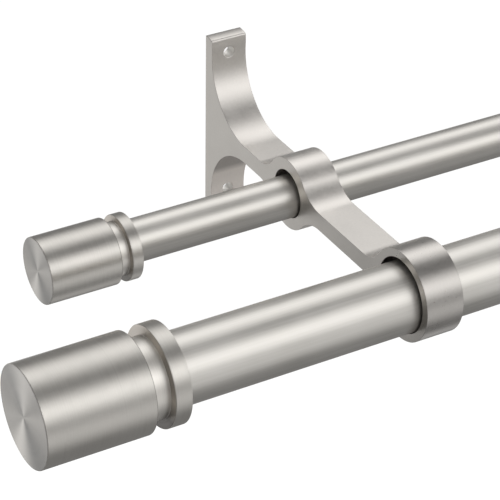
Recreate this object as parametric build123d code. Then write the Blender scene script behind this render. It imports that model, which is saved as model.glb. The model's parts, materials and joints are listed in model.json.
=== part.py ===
from build123d import *
import math
import os

os.makedirs("parts", exist_ok=True)

# A double curtain pole: two wall brackets carry a thick front pole and a thin
# back pole, and each pole end wears a turned finial.
# X runs along the poles. The wall's face is the plane Y = 0 and the room is at -Y.
# Z is up. The origin is the centre of the four wall screw holes, level with the
# centres of the brackets' rings.

# Poles, round tubes
front_pole_d = 25.4
front_pole_wall = 1.0
back_pole_d = 16.0
back_pole_wall = 1.0
bracket_spacing = 960.0  # between the middles of the two brackets
front_overhang = 120.0  # from a bracket's middle to the end of the front tube
back_overhang = 90.0  # from a bracket's middle to the end of the back tube

# Bracket, one casting: wall plate, arm and two rings, all of one width
bracket_width = 14.6
plate_height = 73.2
plate_thickness = 5.0
arm_thickness = 7.0
arm_root_r = 26.0  # concave sweep from the plate into the arm
back_projection = 62.0  # from the wall to the middle of the back ring
front_projection = 137.5  # from the wall to the middle of the front ring
back_ring_wall = 4.65
front_ring_wall = 3.15
back_ring_blend_wall_r = 11.0  # from the arm into the back ring, on the wall's side
back_ring_blend_room_r = 15.0  # the same on the room's side
front_ring_blend_r = 12.0
bracket_edge_chamfer = 0.4
plate_corner_r = 2.0  # on the top and bottom edges of the plate, on the room's side
bore_chamfer = 0.35

# Wall screw holes, two in each plate
screw_hole_d = 4.5
screw_hole_spacing = 60.0
screw_hole_chamfer = 0.3

# Clearances
front_bore_clearance = 1.0  # radial, pole to ring
back_bore_clearance = 1.25
pole_rest_gap = 0.05  # left under a pole where it lies in its ring
front_sleeve_clearance = 0.1  # radial, pole to finial
back_sleeve_clearance = 1.2  # the back finials also fit thicker tubes
sleeve_rest_gap = 0.05  # left over a pole, where its grub screw pulls the finial down on it
pole_stop_gap = 0.3  # from a tube's end to the bottom of the finial's bore
thread_clearance = 0.05  # radial, grub screw to its hole
tip_gap = 0.05  # from a grub screw's tip to the pole

# Finials, each turned in one piece: cap, groove and collar
front_cap_d = 35.4
front_cap_length = 38.5
front_groove_length = 6.5
front_collar_length = 6.0
front_neck_wall = 1.4
front_sleeve_depth = 23.0  # how far the front tube reaches in from the collar's face
back_cap_d = 24.5
back_cap_length = 27.0
back_groove_length = 4.0
back_collar_length = 4.2
back_neck_wall = 0.7
back_sleeve_depth = 17.5
cap_edge_chamfer = 0.4
collar_edge_chamfer = 0.3

# Grub screws with hexagon sockets, all underneath
ring_grub_d = 4.0
front_ring_grub_length = 3.0
back_ring_grub_length = 4.0
front_finial_grub_d = 4.0
front_finial_grub_length = 4.0
back_finial_grub_d = 3.0
back_finial_grub_length = 5.0
socket_share = 0.5  # width across the socket's flats, as a share of the screw's diameter
socket_depth_share = 0.4  # of the screw's diameter
tip_chamfer_share = 0.15

# Values that follow
front_pole_r = front_pole_d / 2
back_pole_r = back_pole_d / 2
front_bore_r = front_pole_r + front_bore_clearance
back_bore_r = back_pole_r + back_bore_clearance
front_ring_r = front_bore_r + front_ring_wall
back_ring_r = back_bore_r + back_ring_wall
front_pole_length = bracket_spacing + 2 * front_overhang
back_pole_length = bracket_spacing + 2 * back_overhang

# The poles lie in the bottom of their rings.
front_pole_z = -(front_bore_clearance - pole_rest_gap)
back_pole_z = -(back_bore_clearance - pole_rest_gap)


def arm_corners(profile, near, far):
    """The outline's corners on the arm's top and bottom edges, between two distances from the wall."""
    half = arm_thickness / 2
    found = []
    for corner in profile.vertices():
        distance = -corner.X
        on_arm = abs(abs(corner.Y) - half) < 1e-4
        if on_arm and near < distance < far:
            found.append(corner)
    return found


def bracket_profile():
    """The bracket seen along the poles: X is Y of the part, Y is Z of the part."""
    plate = Pos(-plate_thickness / 2, 0) * Rectangle(plate_thickness, plate_height)
    arm_length = front_projection - plate_thickness / 2
    arm = Pos(-plate_thickness / 2 - arm_length / 2, 0) * Rectangle(arm_length, arm_thickness)
    back_ring = Pos(-back_projection, 0) * Circle(back_ring_r)
    front_ring = Pos(-front_projection, 0) * Circle(front_ring_r)
    profile = plate + arm + back_ring + front_ring

    tips = [v for v in profile.vertices() if abs(abs(v.Y) - plate_height / 2) < 1e-4]
    front_tips = [v for v in tips if -v.X > plate_thickness / 2]
    profile = fillet(front_tips, plate_corner_r)

    between_rings = (back_projection + front_projection) / 2
    spans = [
        (plate_thickness / 2, plate_thickness * 1.5, arm_root_r),
        (plate_thickness * 1.5, back_projection, back_ring_blend_wall_r),
        (back_projection, between_rings, back_ring_blend_room_r),
        (between_rings, front_projection, front_ring_blend_r),
    ]
    corner_points = [(c.X, c.Y, r) for near, far, r in spans for c in arm_corners(profile, near, far)]
    for x, y, radius in corner_points:
        corner = profile.vertices().sort_by_distance(Vector(x, y, 0))[0]
        profile = fillet(corner, radius)
    return profile


def bracket(x):
    """One casting: the profile carried across the bracket's width, bored and drilled."""
    side = Plane((x - bracket_width / 2, 0, 0), x_dir=(0, 1, 0), z_dir=(1, 0, 0))
    body = extrude(side * bracket_profile(), bracket_width)
    rim = [edge for face in body.faces().filter_by(Axis.X) for edge in face.edges()]
    body = chamfer(rim, bracket_edge_chamfer)

    for projection, bore_r in ((back_projection, back_bore_r), (front_projection, front_bore_r)):
        bore = Pos(x, -projection, 0) * Rot(0, 90, 0) * Cylinder(bore_r, 2 * bracket_width)
        body = body - bore
        mouths = [
            e
            for e in body.edges().filter_by(GeomType.CIRCLE)
            if abs(e.radius - bore_r) < 1e-4 and abs(e.arc_center.Y + projection) < 1e-4
        ]
        body = chamfer(mouths, bore_chamfer)

    for z in (-screw_hole_spacing / 2, screw_hole_spacing / 2):
        drill = Pos(x, 0, z) * Rot(90, 0, 0)
        body = body - drill * Cylinder(screw_hole_d / 2, 4 * plate_thickness)
        mouth = Pos(x, -plate_thickness + screw_hole_chamfer / 2, z) * Rot(90, 0, 0)
        wide = screw_hole_d / 2 + screw_hole_chamfer
        body = body - mouth * Cone(screw_hole_d / 2, wide, screw_hole_chamfer)

    for projection, ring_r in ((back_projection, back_ring_r), (front_projection, front_ring_r)):
        screw_hole = Cylinder(ring_grub_d / 2 + thread_clearance, 2 * ring_r)
        body = body - Pos(x, -projection, -ring_r) * screw_hole
    return body


def pole(row):
    """A straight round tube, open at both ends inside its finials."""
    tube_r = row["pole_d"] / 2
    tube = Cylinder(tube_r, row["pole_length"])
    tube = tube - Cylinder(tube_r - row["pole_wall"], 2 * row["pole_length"])
    return Pos(0, -row["projection"], row["pole_z"]) * Rot(0, 90, 0) * tube


def finial(row, side):
    """A cap, a narrow groove and a collar, turned in one piece and bored to slip over the tube.

    The grub screw under the tube pulls the finial down until its bore lies on the tube.
    side is -1 at the left end of the pole and 1 at the right.
    """
    cap_r = row["cap_d"] / 2
    bore_r = row["pole_d"] / 2 + row["sleeve_clearance"]
    axis_z = row["pole_z"] - (row["sleeve_clearance"] - sleeve_rest_gap)
    neck_r = bore_r + row["neck_wall"]
    collar_end = row["collar_length"]
    shoulder = collar_end + row["groove_length"]
    cap_end = shoulder + row["cap_length"]
    bore_end = row["sleeve_depth"] + pole_stop_gap

    # The outline runs along the axis from the collar's inner face, at 0, to the cap's end.
    outline = Polyline(
        (0, bore_r),
        (0, cap_r),
        (collar_end, cap_r),
        (collar_end, neck_r),
        (shoulder, neck_r),
        (shoulder, cap_r),
        (cap_end, cap_r),
        (cap_end, 0),
        (bore_end, 0),
        (bore_end, bore_r),
        close=True,
    )
    section = make_face(outline)
    for rim_x, edge_chamfer in (
        (0, collar_edge_chamfer),
        (collar_end, collar_edge_chamfer),
        (shoulder, cap_edge_chamfer),
        (cap_end, cap_edge_chamfer),
    ):
        rim = section.vertices().sort_by_distance(Vector(rim_x, cap_r, 0))[0]
        section = chamfer(rim, edge_chamfer)
    turned = revolve(section, Axis.X)

    screw_hole = Cylinder(row["grub_d"] / 2 + thread_clearance, 2 * cap_r)
    turned = turned - Pos(collar_end / 2, 0, -cap_r) * screw_hole
    if side < 0:
        turned = mirror(turned, about=Plane.YZ)
    inner_face = side * (row["pole_length"] / 2 - row["sleeve_depth"])
    return Pos(inner_face, -row["projection"], axis_z) * turned


def grub(row, x, diameter, length):
    """A grub screw under a tube, tip up, with a hexagon socket in its lower end."""
    screw = Cylinder(diameter / 2, length)
    tip = screw.edges().sort_by(Axis.Z)[-1]
    screw = chamfer(tip, diameter * tip_chamfer_share)
    across_corners = diameter * socket_share / math.cos(math.pi / 6)
    depth = diameter * socket_depth_share
    socket = extrude(RegularPolygon(across_corners / 2, 6), depth)
    screw = screw - Pos(0, 0, -length / 2) * socket
    tip_z = row["pole_z"] - row["pole_d"] / 2 - tip_gap
    return Pos(x, -row["projection"], tip_z - length / 2) * screw


front_row = {
    "pole_d": front_pole_d,
    "pole_wall": front_pole_wall,
    "pole_length": front_pole_length,
    "pole_z": front_pole_z,
    "projection": front_projection,
    "cap_d": front_cap_d,
    "cap_length": front_cap_length,
    "groove_length": front_groove_length,
    "collar_length": front_collar_length,
    "neck_wall": front_neck_wall,
    "sleeve_depth": front_sleeve_depth,
    "sleeve_clearance": front_sleeve_clearance,
    "grub_d": front_finial_grub_d,
    "grub_length": front_finial_grub_length,
    "ring_grub_length": front_ring_grub_length,
}
back_row = {
    "pole_d": back_pole_d,
    "pole_wall": back_pole_wall,
    "pole_length": back_pole_length,
    "pole_z": back_pole_z,
    "projection": back_projection,
    "cap_d": back_cap_d,
    "cap_length": back_cap_length,
    "groove_length": back_groove_length,
    "collar_length": back_collar_length,
    "neck_wall": back_neck_wall,
    "sleeve_depth": back_sleeve_depth,
    "sleeve_clearance": back_sleeve_clearance,
    "grub_d": back_finial_grub_d,
    "grub_length": back_finial_grub_length,
    "ring_grub_length": back_ring_grub_length,
}

pieces = {}
for side_name, side in (("left", -1), ("right", 1)):
    bracket_x = side * bracket_spacing / 2
    pieces["bracket_" + side_name] = bracket(bracket_x)
    for row_name, row in (("front", front_row), ("back", back_row)):
        finial_name = row_name + "_finial_" + side_name
        pieces[finial_name] = finial(row, side)

        tube_end = side * row["pole_length"] / 2
        collar_x = tube_end - side * (row["sleeve_depth"] - row["collar_length"] / 2)
        pieces[finial_name + "_grub"] = grub(row, collar_x, row["grub_d"], row["grub_length"])
        ring_grub_name = row_name + "_ring_grub_" + side_name
        pieces[ring_grub_name] = grub(row, bracket_x, ring_grub_d, row["ring_grub_length"])

pieces["front_pole"] = pole(front_row)
pieces["back_pole"] = pole(back_row)

for name, shape in pieces.items():
    export_step(shape, "parts/" + name + ".step")
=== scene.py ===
import json
import bmesh
import bpy
import numpy as np
from mathutils.geometry import tessellate_polygon
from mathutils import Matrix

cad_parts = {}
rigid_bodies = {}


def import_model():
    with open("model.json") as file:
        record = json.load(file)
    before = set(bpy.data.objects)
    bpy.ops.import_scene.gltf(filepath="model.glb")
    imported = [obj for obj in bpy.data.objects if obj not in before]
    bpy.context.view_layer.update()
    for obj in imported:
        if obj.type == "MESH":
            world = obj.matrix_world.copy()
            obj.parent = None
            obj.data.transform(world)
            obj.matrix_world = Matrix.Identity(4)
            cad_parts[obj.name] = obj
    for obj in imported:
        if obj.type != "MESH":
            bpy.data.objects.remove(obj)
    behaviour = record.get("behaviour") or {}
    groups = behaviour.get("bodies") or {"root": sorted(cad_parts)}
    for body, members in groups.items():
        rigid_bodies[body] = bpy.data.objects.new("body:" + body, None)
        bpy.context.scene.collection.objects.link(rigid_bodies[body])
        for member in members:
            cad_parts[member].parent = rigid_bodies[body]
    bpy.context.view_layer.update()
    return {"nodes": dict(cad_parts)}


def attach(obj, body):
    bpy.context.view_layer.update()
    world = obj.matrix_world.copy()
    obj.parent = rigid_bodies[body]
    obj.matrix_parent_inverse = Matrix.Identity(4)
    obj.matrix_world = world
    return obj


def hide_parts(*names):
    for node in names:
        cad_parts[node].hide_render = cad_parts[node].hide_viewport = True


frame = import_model()
MM = 0.001

# The two wall brackets. Each is one zinc casting with a wall plate, an arm and two rings
# for the poles. Polishing rounds the plate's ends and crowns its face and the arm's a
# little, then it is plated in satin nickel. Two screws hold the plate to the wall.
bracket_middles = {"left": -480.0, "right": 480.0}
bracket_width = 14.6
bracket_rim = 0.15
plate_height = 73.2
plate_thickness = 5.0
plate_front_r = 1.0
plate_top_fall = np.radians(8)
plate_crown = np.radians(3.5)
plate_back_r = 0.5
arm_half = 3.5
arm_crown = np.radians(1.3)
arm_root_r = 26.0
back_axis = 62.0
front_axis = 137.5
back_bore_r = 9.25
front_bore_r = 13.7
back_ring_r = 13.9
front_ring_r = 16.85
back_blend_wall_r = 11.0
back_blend_room_r = 15.0
front_blend_r = 12.0
screw_hole_r = 2.25
screw_hole_z = 30.0
ring_grub_hole_r = 2.05
bracket_square = 3.6
hole_rim = 0.3
quarter = np.pi / 2
arc_step = np.radians(3)
straight_step = 4.0
square_steps = 12
patch_rows = 5
rim_rows = 4
weld_gap_m = 2e-6
stop_gap = 0.02  # stops nearer than this to a hole's square give way to its own


def follow(path, start, heading, at):
    """Points of a line of straights and arcs, and its heading there.

    path has one (length, turn) row for each piece, and at has lengths along the line. A
    share f of a piece turns by f*turn. Its chord is f*length*sin(h)/h long for h half
    that turn, and points h past the heading that the piece starts with.
    """
    length, turn = np.array(path, float).T
    first_at = np.concatenate([[0], np.cumsum(length)])
    first_heading = heading + np.concatenate([[0], np.cumsum(turn)])
    chord = length * np.sinc(turn / 2 / np.pi)
    aim = first_heading[:-1] + turn / 2
    run = np.stack([chord * np.cos(aim), chord * np.sin(aim)], -1)
    first = np.concatenate([[start], start + np.cumsum(run, 0)])

    piece = np.clip(np.searchsorted(first_at, at, side="right") - 1, 0, len(length) - 1)
    share = (at - first_at[piece]) / length[piece]
    half_turn = share * turn[piece] / 2
    chord = share * length[piece] * np.sinc(half_turn / np.pi)
    aim = first_heading[piece] + half_turn
    place = first[piece] + np.stack([chord * np.cos(aim), chord * np.sin(aim)], -1)
    return place, first_heading[piece] + 2 * half_turn


def spaced(ends, counts, squares):
    """Equal steps between the ends, with a hole's own equal steps inside its square."""
    spans = [np.linspace(a, b, n, endpoint=False) for a, b, n in zip(ends[:-1], ends[1:], counts)]
    stops = np.concatenate(spans + [ends[-1:]])
    for middle, half in squares:
        steps = np.linspace(middle - half, middle + half, square_steps + 1)
        stops = np.concatenate([stops[np.abs(stops - middle) > half + stop_gap], steps])
    return np.sort(stops)


def path_stops(path, squares, step=straight_step):
    """Stops along a path, three degrees apart on its arcs and a step apart on its straights."""
    length, turn = np.array(path, float).T
    counts = np.where(turn == 0, length / step, np.abs(turn) / arc_step)
    counts = np.maximum(1, np.ceil(counts)).astype(int)
    return spaced(np.concatenate([[0], np.cumsum(length)]), counts, squares)


def cells(rows, columns):
    """The four corners of each cell of a grid, as numbers counted along its rows."""
    corner = np.arange(rows * columns).reshape(rows, columns)
    return np.stack([corner[:-1, :-1], corner[1:, :-1], corner[1:, 1:], corner[:-1, 1:]], -1)


def square(half_p, half_q):
    """Once round a hole's square in equal steps, from one corner back to it."""
    up = np.linspace(-1, 1, square_steps + 1)
    side = np.ones(square_steps)
    along = np.concatenate([up[:-1], side, up[:0:-1], -side, [-1]])
    across = np.concatenate([-side, up[:-1], side, up[:0:-1], [-1]])
    return half_p * along, half_q * across


def skin(surface, p, q, holes):
    """A skin on the grid p x q with round holes, as parts of points, faces, p and q.

    surface gives the point for each p and q. A hole is its middle in p and q, half of its
    square in p and q, its radius, and a function that bends its circle to the surface.
    The square's cells are left out, and a patch runs evenly from the circle at t = 0 to
    the square's edge at t = 1.
    """
    grid_p, grid_q = np.meshgrid(p, q, indexing="ij")
    kept = np.ones((len(p) - 1, len(q) - 1), bool)
    middle_p = (p[:-1] + p[1:])[:, None] / 2
    middle_q = (q[:-1] + q[1:])[None, :] / 2
    parts = []
    t = np.linspace(0, 1, patch_rows)[:, None]
    for at_p, at_q, half_p, half_q, radius, bent in holes:
        kept &= (np.abs(middle_p - at_p) > half_p) | (np.abs(middle_q - at_q) > half_q)
        edge_p, edge_q = square(half_p, half_q)
        rim_p, rim_q = bent(radius + hole_rim, np.arctan2(edge_q, edge_p))
        patch_p = at_p + (1 - t) * rim_p + t * edge_p
        patch_q = at_q + (1 - t) * rim_q + t * edge_q
        faces = cells(*patch_p.shape).reshape(-1, 4)
        parts.append((surface(patch_p, patch_q), faces, patch_p, patch_q))
    parts.append((surface(grid_p, grid_q), cells(len(p), len(q))[kept], grid_p, grid_q))
    return parts


def round_rim(radius):
    """A quarter round: how far each row is set in from the edge, and how deep it lies."""
    turn = np.linspace(0, quarter, rim_rows)
    return radius * (1 - np.sin(turn)), radius * (1 - np.cos(turn))


def mouth(surface, hole, sense, inward):
    """Rows from a hole's edge down its rounded mouth.

    sense is -1 where p runs against the other mouth's, and inward points down the hole.
    """
    at_p, at_q, half_p, half_q, radius, bent = hole
    edge_p, edge_q = square(half_p, half_q)
    angle = np.arctan2(edge_q, edge_p)
    inset, depth = round_rim(hole_rim)
    step_p, step_q = bent((radius + inset)[:, None], angle)
    return surface(at_p + sense * step_p, at_q + step_q) + depth[:, None, None] * np.array(inward)


def hole_wall(near, far):
    """The wall between two mouths, with p along the hole and q round it."""
    points = np.concatenate([near, far[::-1]])
    p, q = np.meshgrid(np.arange(len(points)), np.arange(points.shape[1]), indexing="ij")
    return points, cells(*p.shape).reshape(-1, 4), p, q


def weld(name, parts, lay_along=False):
    """One closed piece from its parts: corners that meet become one, and faces look outwards.

    The UV map named lay is p and q in metres, with u across the lines of the finish.
    """
    points = np.concatenate([part[0].reshape(-1, 3) for part in parts]) * MM
    lay = np.concatenate([np.stack([part[2], part[3]], -1).reshape(-1, 2) for part in parts]) * MM
    first = np.cumsum([0] + [part[0].size // 3 for part in parts])
    faces = [face for start, part in zip(first, parts) for face in (part[1] + start).tolist()]
    mesh = bpy.data.meshes.new(name)
    mesh.from_pydata(points, [], faces)
    corner = np.empty(len(mesh.loops), np.int32)
    mesh.loops.foreach_get("vertex_index", corner)
    if lay_along:
        lay = lay[:, ::-1]
    mesh.uv_layers.new(name="lay").uv.foreach_set("vector", lay[corner].astype(np.float32).ravel())

    welded = bmesh.new()
    welded.from_mesh(mesh)
    bmesh.ops.remove_doubles(welded, verts=welded.verts, dist=weld_gap_m)
    bmesh.ops.recalc_face_normals(welded, faces=welded.faces)
    welded.to_mesh(mesh)
    welded.free()
    mesh.shade_smooth()
    piece = bpy.data.objects.new(name, mesh)
    bpy.context.scene.collection.objects.link(piece)
    piece.modifiers.new("even_shading", "WEIGHTED_NORMAL").weight = 100
    return piece


def bend(reach, radius):
    """The length along a curve over a straight reach: the radius times their ratio's arcsine."""
    return radius * np.arcsin(reach / radius)


def blend_turn(blend_r, ring_r):
    """The heading at which a blend meets its ring: the angle whose cosine is rise over reach."""
    return np.arccos((arm_half + blend_r * np.cos(arm_crown)) / (ring_r + blend_r))


def blend_reach(blend_r, ring_r):
    """How far from a ring's middle its blend leaves the arm."""
    return (ring_r + blend_r) * np.sin(blend_turn(blend_r, ring_r)) + blend_r * np.sin(arm_crown)


def crown(reach, half_turn):
    """A face as one long arc that covers the reach and turns half_turn either side of straight."""
    return (reach * half_turn / np.sin(half_turn), -2 * half_turn)


wall_turn = blend_turn(back_blend_wall_r, back_ring_r)
room_turn = blend_turn(back_blend_room_r, back_ring_r)
front_turn = blend_turn(front_blend_r, front_ring_r)
arm_start = plate_thickness + arm_root_r * (np.cos(plate_crown) + np.sin(arm_crown))
arm_back = back_axis - blend_reach(back_blend_wall_r, back_ring_r)
arm_middle = back_axis + blend_reach(back_blend_room_r, back_ring_r)
arm_front = front_axis - blend_reach(front_blend_r, front_ring_r)
plate_end = plate_thickness - plate_back_r
plate_end -= plate_front_r * (np.cos(plate_crown) - np.sin(plate_top_fall))
plate_end_r = plate_end / np.sin(plate_top_fall)
plate_drop = plate_end_r * (1 - np.cos(plate_top_fall))
plate_drop += plate_front_r * (np.cos(plate_top_fall) - np.sin(plate_crown))
plate_run = plate_height / 2 - plate_drop - arm_half
plate_run -= arm_root_r * (np.cos(arm_crown) + np.sin(plate_crown))
front_round = quarter - plate_top_fall - plate_crown
root_turn = quarter + plate_crown + arm_crown

# The casting seen along the poles, clockwise from the top of the plate's back.
upper_edge = [
    (plate_end_r * plate_top_fall, -plate_top_fall),
    (plate_front_r * front_round, -front_round),
    crown(plate_run, plate_crown),
    (arm_root_r * root_turn, root_turn),
    crown(arm_back - arm_start, arm_crown),
    (back_blend_wall_r * (wall_turn + arm_crown), wall_turn + arm_crown),
    (back_ring_r * (wall_turn + room_turn), -wall_turn - room_turn),
    (back_blend_room_r * (room_turn + arm_crown), room_turn + arm_crown),
    crown(arm_front - arm_middle, arm_crown),
    (front_blend_r * (front_turn + arm_crown), front_turn + arm_crown),
]
front_edge = [(front_ring_r * (np.pi + 2 * front_turn), -np.pi - 2 * front_turn)]
wall_edge = [
    (plate_back_r * quarter, -quarter),
    (plate_height - 2 * plate_back_r, 0),
    (plate_back_r * quarter, -quarter),
]
bracket_edge = upper_edge + front_edge + upper_edge[::-1] + wall_edge

# Some of its lines and arcs by number.
upper_face = 2
front_ring = 10
under_back_ring = 14
lower_face = 18
wall_face = 22


def carried(middle, path, start, heading, holes):
    """A path carried across the bracket's width, set in at both rims by their quarter rounds."""
    inset, depth = round_rim(bracket_rim)
    half = bracket_width / 2
    squares = np.linspace(-bracket_square, bracket_square, square_steps + 1)
    across = np.concatenate([depth - half, squares, (half - depth)[::-1]])
    set_in = np.concatenate([inset, 0 * squares, inset[::-1]])

    def surface(p, q):
        place, turned = follow(path, start, heading, p)
        inside = np.interp(q, across, set_in)
        y = place[..., 0] + inside * np.sin(turned)
        z = place[..., 1] - inside * np.cos(turned)
        return np.stack([middle + q, -y, z], -1)

    along = path_stops(path, [(hole[0], bracket_square) for hole in holes])
    return surface, along, skin(surface, along, across, holes)


def bracket_hole(p, radius, curve_r=1e6):
    """A hole in the middle of the width; a flat face counts as a curve of a kilometre's radius."""

    def bent(reach, angle):
        return bend(reach * np.cos(angle), curve_r), reach * np.sin(angle)

    return p, 0.0, bracket_square, bracket_square, radius, bent


def bracket(side):
    """One casting: its outline, two bores, two flat sides and the walls of its screw holes."""
    middle = bracket_middles[side]
    reached = np.concatenate([[0], np.cumsum([length for length, _ in bracket_edge])])
    plate_top = plate_height / 2 - plate_drop
    upper_hole = bracket_hole(reached[upper_face] + plate_top - screw_hole_z, screw_hole_r)
    lower_hole = bracket_hole(reached[lower_face + 1] - plate_top + screw_hole_z, screw_hole_r)
    under_back = reached[under_back_ring] + back_ring_r * room_turn
    under_back = bracket_hole(under_back, ring_grub_hole_r, back_ring_r)
    under_front = reached[front_ring] + front_ring_r * (np.pi + front_turn)
    under_front = bracket_hole(under_front, ring_grub_hole_r, front_ring_r)
    wall_middle = (reached[wall_face] + reached[wall_face + 1]) / 2
    wall_lower = bracket_hole(wall_middle - screw_hole_z, screw_hole_r)
    wall_upper = bracket_hole(wall_middle + screw_hole_z, screw_hole_r)
    holes = [upper_hole, lower_hole, under_back, under_front, wall_lower, wall_upper]
    start = np.array([plate_back_r, plate_height / 2])
    shell, along, parts = carried(middle, bracket_edge, start, 0.0, holes)
    to_wall, to_room = (0, 1, 0), (0, -1, 0)
    for near, far in ((upper_hole, wall_upper), (lower_hole, wall_lower)):
        parts.append(hole_wall(mouth(shell, near, -1, to_wall), mouth(shell, far, 1, to_room)))

    half = bracket_width / 2
    up, down = (0, 0, 1), (0, 0, -1)
    loops = [(shell, along)]
    rings = ((back_axis, back_bore_r, under_back), (front_axis, front_bore_r, under_front))
    for axis, bore_r, under in rings:
        circle = [(2 * np.pi * bore_r, 2 * np.pi)]
        hole = bracket_hole(np.pi * bore_r, ring_grub_hole_r, bore_r)
        top = np.array([axis, bore_r])
        bore, round_bore, bore_parts = carried(middle, circle, top, np.pi, [hole])
        parts += bore_parts + [hole_wall(mouth(shell, under, -1, up), mouth(bore, hole, 1, down))]
        loops.append((bore, round_bore))
    for q in (-half, half):
        edges = [surface(stops[:-1], np.full(len(stops) - 1, q)) for surface, stops in loops]
        flat = [[(0.0, y, z) for _, y, z in edge.tolist()] for edge in edges]
        corners = np.concatenate(edges)
        parts.append((corners, np.array(tessellate_polygon(flat)), corners[:, 1], corners[:, 2]))
    return weld("bracket_" + side + "_casting", parts)


brackets = {side: bracket(side) for side in bracket_middles}


def to_linear(colour):
    """An sRGB hex colour as linear RGBA."""
    code = np.array([int(colour[i : i + 2], 16) / 255 for i in (1, 3, 5)])
    linear = np.where(code <= 0.04045, code / 12.92, ((code + 0.055) / 1.055) ** 2.4)
    return tuple(linear.tolist()) + (1.0,)


def add(tree, kind, sockets, **settings):
    """Adds one node. settings are its own choices, and sockets are values or other outputs."""
    made = tree.nodes.new(kind)
    for name, value in settings.items():
        setattr(made, name, value)
    for socket, value in sockets.items():
        if isinstance(value, bpy.types.NodeSocket):
            tree.links.new(value, made.inputs[socket])
        else:
            made.inputs[socket].default_value = value
    return made


cloud_share = 0.4  # of the pattern, the rest of it being lines
noise_low, noise_high = 0.35, 0.65  # what most of a noise lies between


def nickel_plate(name, tones, lines_mm, cloud_mm, depth_um, along_lay=False):
    """The start of a nickel finish: the fine lines of its last working, and broad faint clouds.

    lines_mm are the spacings of the lines along x, y and z, or along u and v of the lay.
    Gives the material, the tone, the mixed pattern from 0 to 1 and the relief.
    """
    material = bpy.data.materials.new(name)
    material.use_nodes = True
    tree = material.node_tree
    tree.nodes.clear()
    coordinates = add(tree, "ShaderNodeTexCoord", {})
    place = coordinates.outputs["Object"]
    if along_lay:
        place = add(tree, "ShaderNodeUVMap", {}, uv_map="lay").outputs["UV"]
    per_metre = tuple(1 / (gap * MM) for gap in lines_mm)
    fine = add(tree, "ShaderNodeMapping", {"Vector": place, "Scale": per_metre})
    close = {"Vector": fine.outputs[0], "Scale": 1.0, "Detail": 3.0}
    lines = add(tree, "ShaderNodeTexNoise", close)
    broad = {"Vector": coordinates.outputs["Object"], "Scale": 1 / (cloud_mm * MM), "Detail": 2.0}
    clouds = add(tree, "ShaderNodeTexNoise", broad)
    both = {0: cloud_share, 2: lines.outputs[0], 3: clouds.outputs[0]}
    pattern = add(tree, "ShaderNodeMix", both, data_type="FLOAT")
    ends = {"Value": pattern.outputs[0], 1: noise_low, 2: noise_high}
    pattern = add(tree, "ShaderNodeMapRange", ends)
    colours = {0: pattern.outputs[0], 6: to_linear(tones[0]), 7: to_linear(tones[1])}
    tone = add(tree, "ShaderNodeMix", colours, data_type="RGBA")
    height = {"Strength": 1.0, "Distance": depth_um * 1e-6, "Height": lines.outputs[0]}
    relief = add(tree, "ShaderNodeBump", height)
    return material, tone.outputs[2], pattern.outputs[0], relief.outputs[0]


def finish(material, tone, pattern, relief, roughness, anisotropy=0.0):
    """Ends a nickel finish: its roughness follows the pattern by a tenth either way."""
    tree = material.node_tree
    share = add(tree, "ShaderNodeMapRange", {"Value": pattern, 3: 0.9, 4: 1.1})
    gloss = add(tree, "ShaderNodeMath", {0: roughness, 1: share.outputs[0]}, operation="MULTIPLY")
    sockets = {
        "Base Color": tone,
        "Metallic": 1.0,
        "Roughness": gloss.outputs[0],
        "Normal": relief,
        "Anisotropic": anisotropy,
    }
    if anisotropy:
        across = add(tree, "ShaderNodeTangent", {}, direction_type="UV_MAP", uv_map="lay")
        sockets["Tangent"] = across.outputs[0]
    shader = add(tree, "ShaderNodeBsdfPrincipled", sockets)
    add(tree, "ShaderNodeOutputMaterial", {"Surface": shader.outputs[0]})
    return material


def shaded(tree, tone, level):
    """A tone multiplied by a level, as one node's output."""
    mixed = {0: 1.0, 6: tone, 7: level}
    return add(tree, "ShaderNodeMix", mixed, data_type="RGBA", blend_type="MULTIPLY").outputs[2]


def fade(tree, axis, start, end, low, high):
    """A level that runs from low to high between two places along an axis, in millimetres."""
    place = add(tree, "ShaderNodeTexCoord", {})
    axes = add(tree, "ShaderNodeSeparateXYZ", {0: place.outputs["Object"]})
    ends = {"Value": axes.outputs[axis], 1: start * MM, 2: end * MM, 3: low, 4: high}
    return add(tree, "ShaderNodeMapRange", ends).outputs[0]


def cast_finish(name, tones, levels, roughness):
    """The casting's finish: its tone times each of the levels, and its roughness, as fades.

    A level has one fade, or several of which the highest counts.
    """
    material, tone, pattern, relief = nickel_plate(name, tones, (0.9, 0.9, 0.9), 9.0, 0.03)
    tree = material.node_tree
    for fades in levels:
        level = fade(tree, *fades[0])
        for other in fades[1:]:
            both = {0: level, 1: fade(tree, *other)}
            level = add(tree, "ShaderNodeMath", both, operation="MAXIMUM").outputs[0]
        tone = shaded(tree, tone, level)
    return finish(material, tone, pattern, relief, fade(tree, *roughness))


# Satin nickel on the casting: an even silver-grey with a fine grain. It is smoothest at the
# front ring. Its tone is painted deepest at the front ring and paler towards the wall: painted
# light and shade, for the brighter light near the wall. The plate's back is painted darker
# again, as painted shade near the wall. The corner below the arm isn't polished at all, and
# stays duller and a browner grey; painted shade makes it darkest right under the arm. The
# flat sides carry painted shade that deepens towards the front.
painted_shade_at_front_ring = ("Y", -146, -118, 0.71, 1.0)
# Painted shade on the flat sides, deepening towards the front.
painted_shade_on_side = ("Y", -150, -58, 0.62, 1.0)
# Painted shade on the plate's back, near the wall.
painted_shade_near_wall = ("Y", -4.0, -0.4, 1.0, 0.45)
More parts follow.
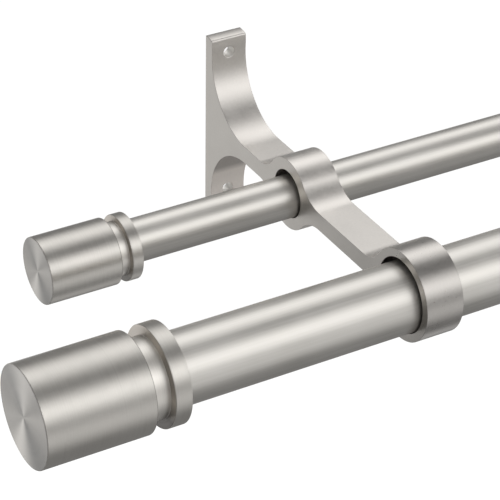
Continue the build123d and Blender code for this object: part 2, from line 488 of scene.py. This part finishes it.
# Painted shade right under the arm and painted light lower down in the corner; both give way towards
# the front.
painted_light_and_shade_in_corner = ("Z", -21.5, -18.0, 1.15, 0.66)
pale_in_front = ("Y", -34, -16, 1.0, 0.0)
smooth_at_front_ring = ("Y", -128, -114, 0.30, 0.40)
dull_in_corner = ("Y", -34, -26, 0.40, 0.60)
cast_nickel = cast_finish(
    "satin_nickel_on_casting",
    ("#CCC8C3", "#D3CFCA"),
    [[painted_shade_at_front_ring], [painted_shade_near_wall]],
    smooth_at_front_ring,
)
side_nickel = cast_finish(
    "satin_nickel_on_flat_side",
    ("#CBC7C1", "#D2CEC8"),
    [[painted_shade_on_side]],
    smooth_at_front_ring,
)
corner_nickel = cast_finish(
    "satin_nickel_under_arm",
    ("#D2CCC6", "#D9D3CD"),
    [[painted_shade_at_front_ring], [painted_light_and_shade_in_corner, pale_in_front]],
    dull_in_corner,
)

# The walls of the screw holes are rougher, and painted much brighter than the rest: painted
# light in the holes.
painted_light_in_holes = ("#F1EFEB", "#F8F6F3")
drilled = nickel_plate("satin_nickel_on_drilled_wall", painted_light_in_holes, (0.6, 0.6, 0.6), 9.0, 0.05)
drilled_nickel = finish(*drilled, 0.62)


def face_middles(mesh):
    """The middle of each face in millimetres, as one row for each of x, y and z."""
    centres = np.empty(3 * len(mesh.polygons), np.float32)
    mesh.polygons.foreach_get("center", centres)
    return centres.reshape(-1, 3).T / MM


# How near a face's middle lies to its surface, and where the corner under the arm ends.
drilled_slack = 0.02
side_slack = 0.005
corner_top = 0.3 - arm_half
corner_front = -plate_thickness - arm_root_r - 4.0
corner_back = 1.2 - plate_thickness

for side, piece in brackets.items():
    for metal in (cast_nickel, drilled_nickel, corner_nickel, side_nickel):
        piece.data.materials.append(metal)
    x, y, z = face_middles(piece.data)
    x -= bracket_middles[side]
    drilled_wall = np.hypot(x, np.abs(z) - screw_hole_z) < screw_hole_r + drilled_slack
    on_side = np.abs(x) > bracket_width / 2 - side_slack
    under_arm = (z < corner_top) & (y > corner_front) & (y < corner_back) & ~on_side
    slots = np.where(drilled_wall, 1, np.where(on_side, 3, np.where(under_arm, 2, 0)))
    piece.data.polygons.foreach_set("material_index", slots.astype(np.int32))
    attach(piece, "root")
    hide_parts("bracket_" + side)

# The two poles. Each is a drawn steel tube that lies in the bottom of its rings, ground
# lengthwise with a fine belt and plated in satin nickel.
front_pole = {"radius": 12.7, "wall": 1.0, "length": 1200.0, "axis": front_axis, "z": -0.95}
back_pole = {"radius": 8.0, "wall": 1.0, "length": 1140.0, "axis": back_axis, "z": -1.20}
tube_rim = 0.2
tube_step = 60.0
steps_round = 120


def turned(path, start, heading, row, round_r, middle_x=0, side=1, step=straight_step, holes=()):
    """A path turned about a pole's axis: x runs along it, and q is the arc at the radius round_r."""

    def surface(p, q):
        place, _ = follow(path, start, heading, p)
        x = middle_x + side * place[..., 0]
        y = -row["axis"] - place[..., 1] * np.cos(q / round_r)
        z = row["z"] + place[..., 1] * np.sin(q / round_r)
        return np.stack([x, y, z], -1)

    p = path_stops(path, [(hole[0], hole[2]) for hole in holes], step)
    full = np.array([0, 2 * np.pi * round_r])
    q = spaced(full, [steps_round], [(hole[1], hole[3]) for hole in holes[:1]])
    return surface, skin(surface, p, q, holes)


def tube(name, row):
    """The tube's wall seen in section, turned about its axis."""
    length = row["length"] - 2 * tube_rim
    corner = (tube_rim * quarter, -quarter)
    end = (row["wall"] - 2 * tube_rim, 0)
    path = [(length, 0), corner, end, corner] * 2
    start = np.array([-length / 2, row["radius"]])
    _, parts = turned(path, start, 0.0, row, row["radius"], step=tube_step)
    return weld(name, parts, lay_along=True)


# Satin nickel on the tubes: long faint lines, and soft reflections spread round the tube.
# The real lines are about 0.1 mm apart, drawn here at 0.7 mm so that they show.
drawn_tones = ("#C9C6C0", "#D2CFCA")
drawn = nickel_plate("satin_nickel_ground_lengthwise", drawn_tones, (60.0, 0.7, 0.7), 25.0, 0.7)
drawn_nickel = finish(*drawn, 0.38, 0.3)
for node, row in (("front_pole", front_pole), ("back_pole", back_pole)):
    piece = tube(node + "_tube", row)
    piece.data.materials.append(drawn_nickel)
    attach(piece, "root")
    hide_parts(node)

# The four finials. Each is turned from one bar as a cap, a narrow groove and a collar,
# plated in satin nickel with its turning lines left on, and slipped over a pole's end.
# Its grub screw pulls it down on the pole, and the back ones are bored wide, so they hang low.
front_finial = {
    "cap_r": 17.7,
    "cap": 38.5,
    "groove": 6.5,
    "collar": 6.0,
    "bore_r": 12.8,
    "neck_r": 14.2,
    "bore": 23.3,
    "inner_x": 577.0,
    "grub_hole_r": 2.05,
    "square": (2.6, 2.1),
    "axis": front_axis,
    "z": -1.00,
}
back_finial = {
    "cap_r": 12.25,
    "cap": 27.0,
    "groove": 4.0,
    "collar": 4.2,
    "bore_r": 9.2,
    "neck_r": 9.9,
    "bore": 17.8,
    "inner_x": 552.5,
    "grub_hole_r": 1.55,
    "square": (1.75, 2.5),
    "axis": back_axis,
    "z": -2.35,
}
cap_rim = 0.35
collar_rim = 0.3
groove_fillet = 0.2
bore_rim = 0.2
turning_r = 10.0  # the radius at which the arc round a finial is measured


def finial(name, row, side):
    """One finial, from the middle of the bore's bottom round the collar and the cap to its end."""
    face = row["cap_r"] - row["neck_r"] - groove_fillet
    path = [
        (row["bore_r"] - bore_rim, 0),
        (bore_rim * quarter, quarter),
        (row["bore"] - 2 * bore_rim, 0),
        (bore_rim * quarter, -quarter),
        (row["cap_r"] - row["bore_r"] - bore_rim - collar_rim, 0),
        (collar_rim * quarter, -quarter),
        (row["collar"] - 2 * collar_rim, 0),
        (collar_rim * quarter, -quarter),
        (face - collar_rim, 0),
        (groove_fillet * quarter, quarter),
        (row["groove"] - 2 * groove_fillet, 0),
        (groove_fillet * quarter, quarter),
        (face - cap_rim, 0),
        (cap_rim * quarter, -quarter),
        (row["cap"] - 2 * cap_rim, 0),
        (cap_rim * quarter, -quarter),
        (row["cap_r"] - cap_rim, 0),
    ]
    reached = np.concatenate([[0], np.cumsum([length for length, _ in path])])
    under = 1.5 * np.pi * turning_r
    half_p, half_q = row["square"]

    def hole(p, local_r):
        def bent(reach, angle):
            return reach * np.cos(angle), turning_r * np.arcsin(reach * np.sin(angle) / local_r)

        return p, under, half_p, half_q, row["grub_hole_r"], bent

    collar, bore_end = 6, 3  # the numbers of the collar's line and of the bore's last arc
    outside = hole((reached[collar] + reached[collar + 1]) / 2, row["cap_r"])
    inside = hole(reached[bore_end] - row["collar"] / 2 + bore_rim, row["bore_r"])
    start = np.array([row["bore"], 0.0])
    middle_x = side * row["inner_x"]
    holes = [outside, inside]
    surface, parts = turned(path, start, quarter, row, turning_r, middle_x, side, holes=holes)
    up, down = (0, 0, 1), (0, 0, -1)
    parts.append(hole_wall(mouth(surface, outside, 1, up), mouth(surface, inside, -1, down)))
    return weld(name, parts)


# Satin nickel on turned work: fine lines round the axis spread each reflection along it.
# The real lines are 0.05 to 0.1 mm apart, drawn here at 0.5 mm so that they show.
def turned_finish(name, tones):
    """The turned finish in a pair of tones, not yet given its roughness."""
    return nickel_plate(name, tones, (0.5, 40.0, 1.0), 14.0, 0.3, along_lay=True)


turned_nickel = finish(*turned_finish("satin_nickel_turned", ("#D0CCC6", "#DAD7D1")), 0.45, 0.8)


def round_the_axis(tree, stops):
    """A level that goes once round the axis through its stops of angle and level.

    The angle is in degrees, from the room's side over the top.
    """
    lay = add(tree, "ShaderNodeUVMap", {}, uv_map="lay")
    arc = add(tree, "ShaderNodeSeparateXYZ", {0: lay.outputs["UV"]})
    share = {0: arc.outputs["Y"], 1: 1 / (2 * np.pi * turning_r * MM)}
    share = add(tree, "ShaderNodeMath", share, operation="MULTIPLY")
    painted_rays = add(tree, "ShaderNodeValToRGB", {0: share.outputs[0]})
    ramp = painted_rays.color_ramp
    ramp.interpolation = "CARDINAL"
    for angle, _ in stops[1:-1]:
        ramp.elements.new(angle / 360)
    for element, (_, level) in zip(ramp.elements, stops):
        element.color = (level, level, level, 1)
    return painted_rays.outputs[0]


# The groove's neck is burnished on the lathe, so its reflections stay short and clear, and its
# tone is painted lighter than the other turned nickel: painted light. The collar's side of the
# groove is a browner grey, with painted shade that darkens it underneath and painted dark
# streaks round the axis, painted reflections of the dark shoulder. The cap's sharp edge is
# painted as a thin dark line: painted shade.
neck_nickel = finish(*turned_finish("satin_nickel_burnished", ("#DAD6D0", "#E4E1DB")), 0.42)
groove_nickel, tone, pattern, relief = turned_finish("nickel_in_groove", ("#DDD5CB", "#E8E1D7"))
tree = groove_nickel.node_tree
# Painted shade underneath, and painted dark streaks round the axis standing for reflections of the
# dark shoulder.
painted_shade_below = fade(tree, "Z", -10, -1, 0.14, 1.0)
painted_reflection_streaks = [(0, 1.0), (20, 0.6), (50, 0.6), (70, 1.0), (95, 0.85), (115, 0.62), (360, 1.0)]
tone = shaded(tree, shaded(tree, tone, painted_shade_below), round_the_axis(tree, painted_reflection_streaks))
finish(groove_nickel, tone, pattern, relief, 0.40, 0.5)
# The cap's edge: a painted thin dark line, painted shade.
painted_dark_edge_nickel = finish(*turned_finish("nickel_on_sharp_edge", ("#5E5954", "#6C6762")), 0.5)

# A faced end is painted with a few bright rays from its middle: painted highlights in the
# pattern that spun metal shows. The back finials' ends are painted a little darker, as
# painted shade.
faced_nickel, tone, pattern, relief = turned_finish("satin_nickel_faced", ("#DEDAD4", "#E9E6E1"))
tree = faced_nickel.node_tree
painted_rays = [(0, 0.64), (28, 0.77), (45, 0.58), (85, 0.75), (125, 0.38), (150, 0.44), (205, 0.72)]
painted_rays += [(228, 0.68), (253, 0.94), (285, 0.46), (315, 0.29), (360, 0.64)]
painted_shade_on_back_ends = fade(tree, "Y", -110, -80, 1.0, 0.84)
tone = shaded(tree, shaded(tree, tone, round_the_axis(tree, painted_rays)), painted_shade_on_back_ends)
finish(faced_nickel, tone, pattern, relief, 0.42, 0.7)

facing_cosine = 0.9
end_slack = 0.05
shoulder_slack = 0.1
edge_share = 0.7  # how much of the cap's rounded edge is the thin dark line


def finish_by_place(piece, row):
    """Slot 1 is the faced end, 2 the collar's side of the groove, 3 the neck, 4 the cap's edge."""
    mesh = piece.data
    x, y, z = face_middles(mesh)
    normals = np.empty(3 * len(mesh.polygons), np.float32)
    mesh.polygons.foreach_get("normal", normals)
    from_middle = np.abs(x) - row["inner_x"]
    from_axis = np.hypot(y + row["axis"], z - row["z"])
    facing = np.abs(normals[::3]) > facing_cosine
    shoulder = row["collar"] + row["groove"]
    slots = np.where(facing & (from_middle > shoulder + row["cap"] - end_slack), 1, 0)
    slots = np.where(facing & (np.abs(from_middle - row["collar"]) < shoulder_slack), 2, slots)
    in_groove = (from_middle > row["collar"]) & (from_middle < shoulder)
    outside = from_axis > row["neck_r"] - shoulder_slack
    slots = np.where(in_groove & ~facing & outside, 3, slots)
    cap_edge = (from_middle > shoulder) & (from_middle < shoulder + edge_share * cap_rim)
    slots = np.where(cap_edge & (from_axis > row["cap_r"] - cap_rim), 4, slots)
    mesh.polygons.foreach_set("material_index", slots.astype(np.int32))


for row_name, row in (("front", front_finial), ("back", back_finial)):
    for side_name, side in (("left", -1), ("right", 1)):
        node = row_name + "_finial_" + side_name
        piece = finial(node + "_turned", row, side)
        for metal in (turned_nickel, faced_nickel, groove_nickel, neck_nickel, painted_dark_edge_nickel):
            piece.data.materials.append(metal)
        finish_by_place(piece, row)
        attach(piece, "root")
        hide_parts(node)

# The eight grub screws, of hardened steel with a hexagon socket. They sit under the rings
# and the collars, and hold the poles and the finials.
screw = nickel_plate("hardened_screw_steel", ("#8E8D8C", "#A3A2A0"), (0.3, 0.3, 0.3), 2.0, 0.3)
screw_metal = finish(*screw, 0.34)
for node, piece in frame["nodes"].items():
    if "grub" in node:
        piece.data.materials.clear()
        piece.data.materials.append(screw_metal)

# The studio: a pale floor far below, long soft lamps beside the poles, a world that is
# white to the camera and dim to the metal, and the camera where the photographer's stood.
scene = bpy.context.scene
floor_mesh = bpy.data.meshes.new("floor")
floor_stops = np.linspace(-14, 14, 3)
floor_z = -3.4
floor_x, floor_y = np.meshgrid(floor_stops, floor_stops, indexing="ij")
floor_points = np.stack([floor_x, floor_y, np.full_like(floor_x, floor_z)], -1).reshape(-1, 3)
floor_mesh.from_pydata(floor_points, [], cells(3, 3).reshape(-1, 4).tolist())
floor = bpy.data.objects.new("floor", floor_mesh)
scene.collection.objects.link(floor)
floor_paint = bpy.data.materials.new("pale_floor")
floor_paint.use_nodes = True
floor_shader = floor_paint.node_tree.nodes["Principled BSDF"]
floor_shader.inputs["Base Color"].default_value = to_linear("#F4F4F2")
floor_shader.inputs["Roughness"].default_value = 0.9
floor_shader.inputs["Emission Color"].default_value = (1, 1, 1, 1)
floor_shader.inputs["Emission Strength"].default_value = 0.8
floor_mesh.materials.append(floor_paint)
floor.visible_glossy = False


layer_widths = (0.5, 1.0, 1.5)
layer_gap = 0.02
middle_y = -0.1  # what the lamps are turned about
watts = 4.0  # per square metre, at a glow of 1


def shine_only_on(lamps, words):
    """Lets the lamps shine only on the pieces whose names have one of the words in them."""
    reached = bpy.data.collections.new("reached_by_" + lamps[0].name)
    for piece in list(scene.collection.objects):
        if piece.type == "MESH" and any(word in piece.name for word in words.split()):
            reached.objects.link(piece)
    for lamp in lamps:
        lamp.light_linking.receiver_collection = reached


def strip_lamp(name, words, angle, width, glow, distance=1.5, length=4.0, x=1.1):
    """A long soft lamp parallel to the poles, in three layers so that its edges fade.

    It shines on the pieces that the words name. angle is up from the room's side, and
    glow is how bright its middle is.
    """
    turn = np.radians(angle)
    lamps = []
    for layer, share in enumerate(layer_widths):
        data = bpy.data.lights.new(name, "AREA")
        data.shape = "RECTANGLE"
        data.size = length
        data.size_y = width * share
        data.energy = glow / len(layer_widths) * data.size * data.size_y * watts
        lamp = bpy.data.objects.new(name, data)
        far = distance + layer_gap * layer
        lamp.location = (x, middle_y - far * np.cos(turn), far * np.sin(turn))
        lamp.rotation_euler = (quarter - turn, 0, 0)
        lamp.visible_camera = False
        scene.collection.objects.link(lamp)
        lamps.append(lamp)
    shine_only_on(lamps, words)


# Three rows of lamps: over the room, over the wall and low in the room. Each kind of piece
# has its own, at the angles that put its reflections where the photograph shows them.
strip_lamp("room_lamp_for_front_pole", "front_pole floor", 34.3, 1.12, 1.31, length=6.4, x=0.0)
strip_lamp("room_lamp_for_back_pole", "back_pole", 32, 1.12, 1.31, length=6.4, x=0.0)
strip_lamp("wall_lamp_for_poles", "tube floor", 119.8, 1.12, 1.23, length=6.4, x=0.0)
strip_lamp("low_lamp_for_front_pole", "front_pole", -18, 1.05, 0.5)
strip_lamp("low_lamp_for_back_pole", "back_pole", -42, 1.6, 0.11)
strip_lamp("room_lamp", "casting turned grub", 32, 1.12, 1.28)
strip_lamp("wall_lamp_for_castings", "casting grub", 121.5, 0.53, 1.22, distance=0.7)
strip_lamp("wall_lamp_for_finials", "turned", 120, 1.26, 1.03)
strip_lamp("low_lamp", "casting turned grub", -27, 1.15, 0.5)

# Dimmer ones behind and below show on the ends, the undersides and the bracket's plate.
strip_lamp("back_lamp", "tube casting turned grub", 209, 0.7, 0.5, length=5.0, x=-0.2)
strip_lamp("end_lamp", "turned grub", 216, 0.9, 0.35, length=1.6, x=-1.5)
strip_lamp("under_lamp", "casting back_finial", -95, 0.22, 0.33, distance=0.5, length=3.0, x=0.9)

# One at the left, below the poles' ends, shows on the edges and in the screw holes.
side_lamp = bpy.data.objects.new("side_lamp", bpy.data.lights.new("side_lamp", "AREA"))
side_lamp.data.size = 1.0
side_lamp.data.energy = 0.6 * watts
side_lamp.location = (-1.75, -0.80, -0.68)
side_lamp.rotation_euler = (np.radians(65), 0, np.radians(-60))
side_lamp.visible_camera = False
scene.collection.objects.link(side_lamp)
shine_only_on([side_lamp], "casting")

world = bpy.data.worlds.new("studio")
world.use_nodes = True
scene.world = world
sky = world.node_tree
sky.nodes.clear()
seen = add(sky, "ShaderNodeBackground", {"Color": (0.99, 0.99, 0.99, 1), "Strength": 1.0})
dim = add(sky, "ShaderNodeBackground", {"Color": (1, 1, 1, 1), "Strength": 0.24})
eye = add(sky, "ShaderNodeLightPath", {})
halves = {0: eye.outputs["Is Camera Ray"], 1: dim.outputs[0], 2: seen.outputs[0]}
choice = add(sky, "ShaderNodeMixShader", halves)
add(sky, "ShaderNodeOutputWorld", {"Surface": choice.outputs[0]})
scene.view_settings.view_transform = "Standard"

lens = bpy.data.cameras.new("camera")
lens.lens = 160.652
lens.sensor_width = 36
lens.clip_start = 0.05
camera = bpy.data.objects.new("camera", lens)
camera.location = (-0.84958, -0.65607, 0.42329)
camera.rotation_euler = np.radians([57.2151, -0.8159, -29.7587])
scene.collection.objects.link(camera)
scene.camera = camera
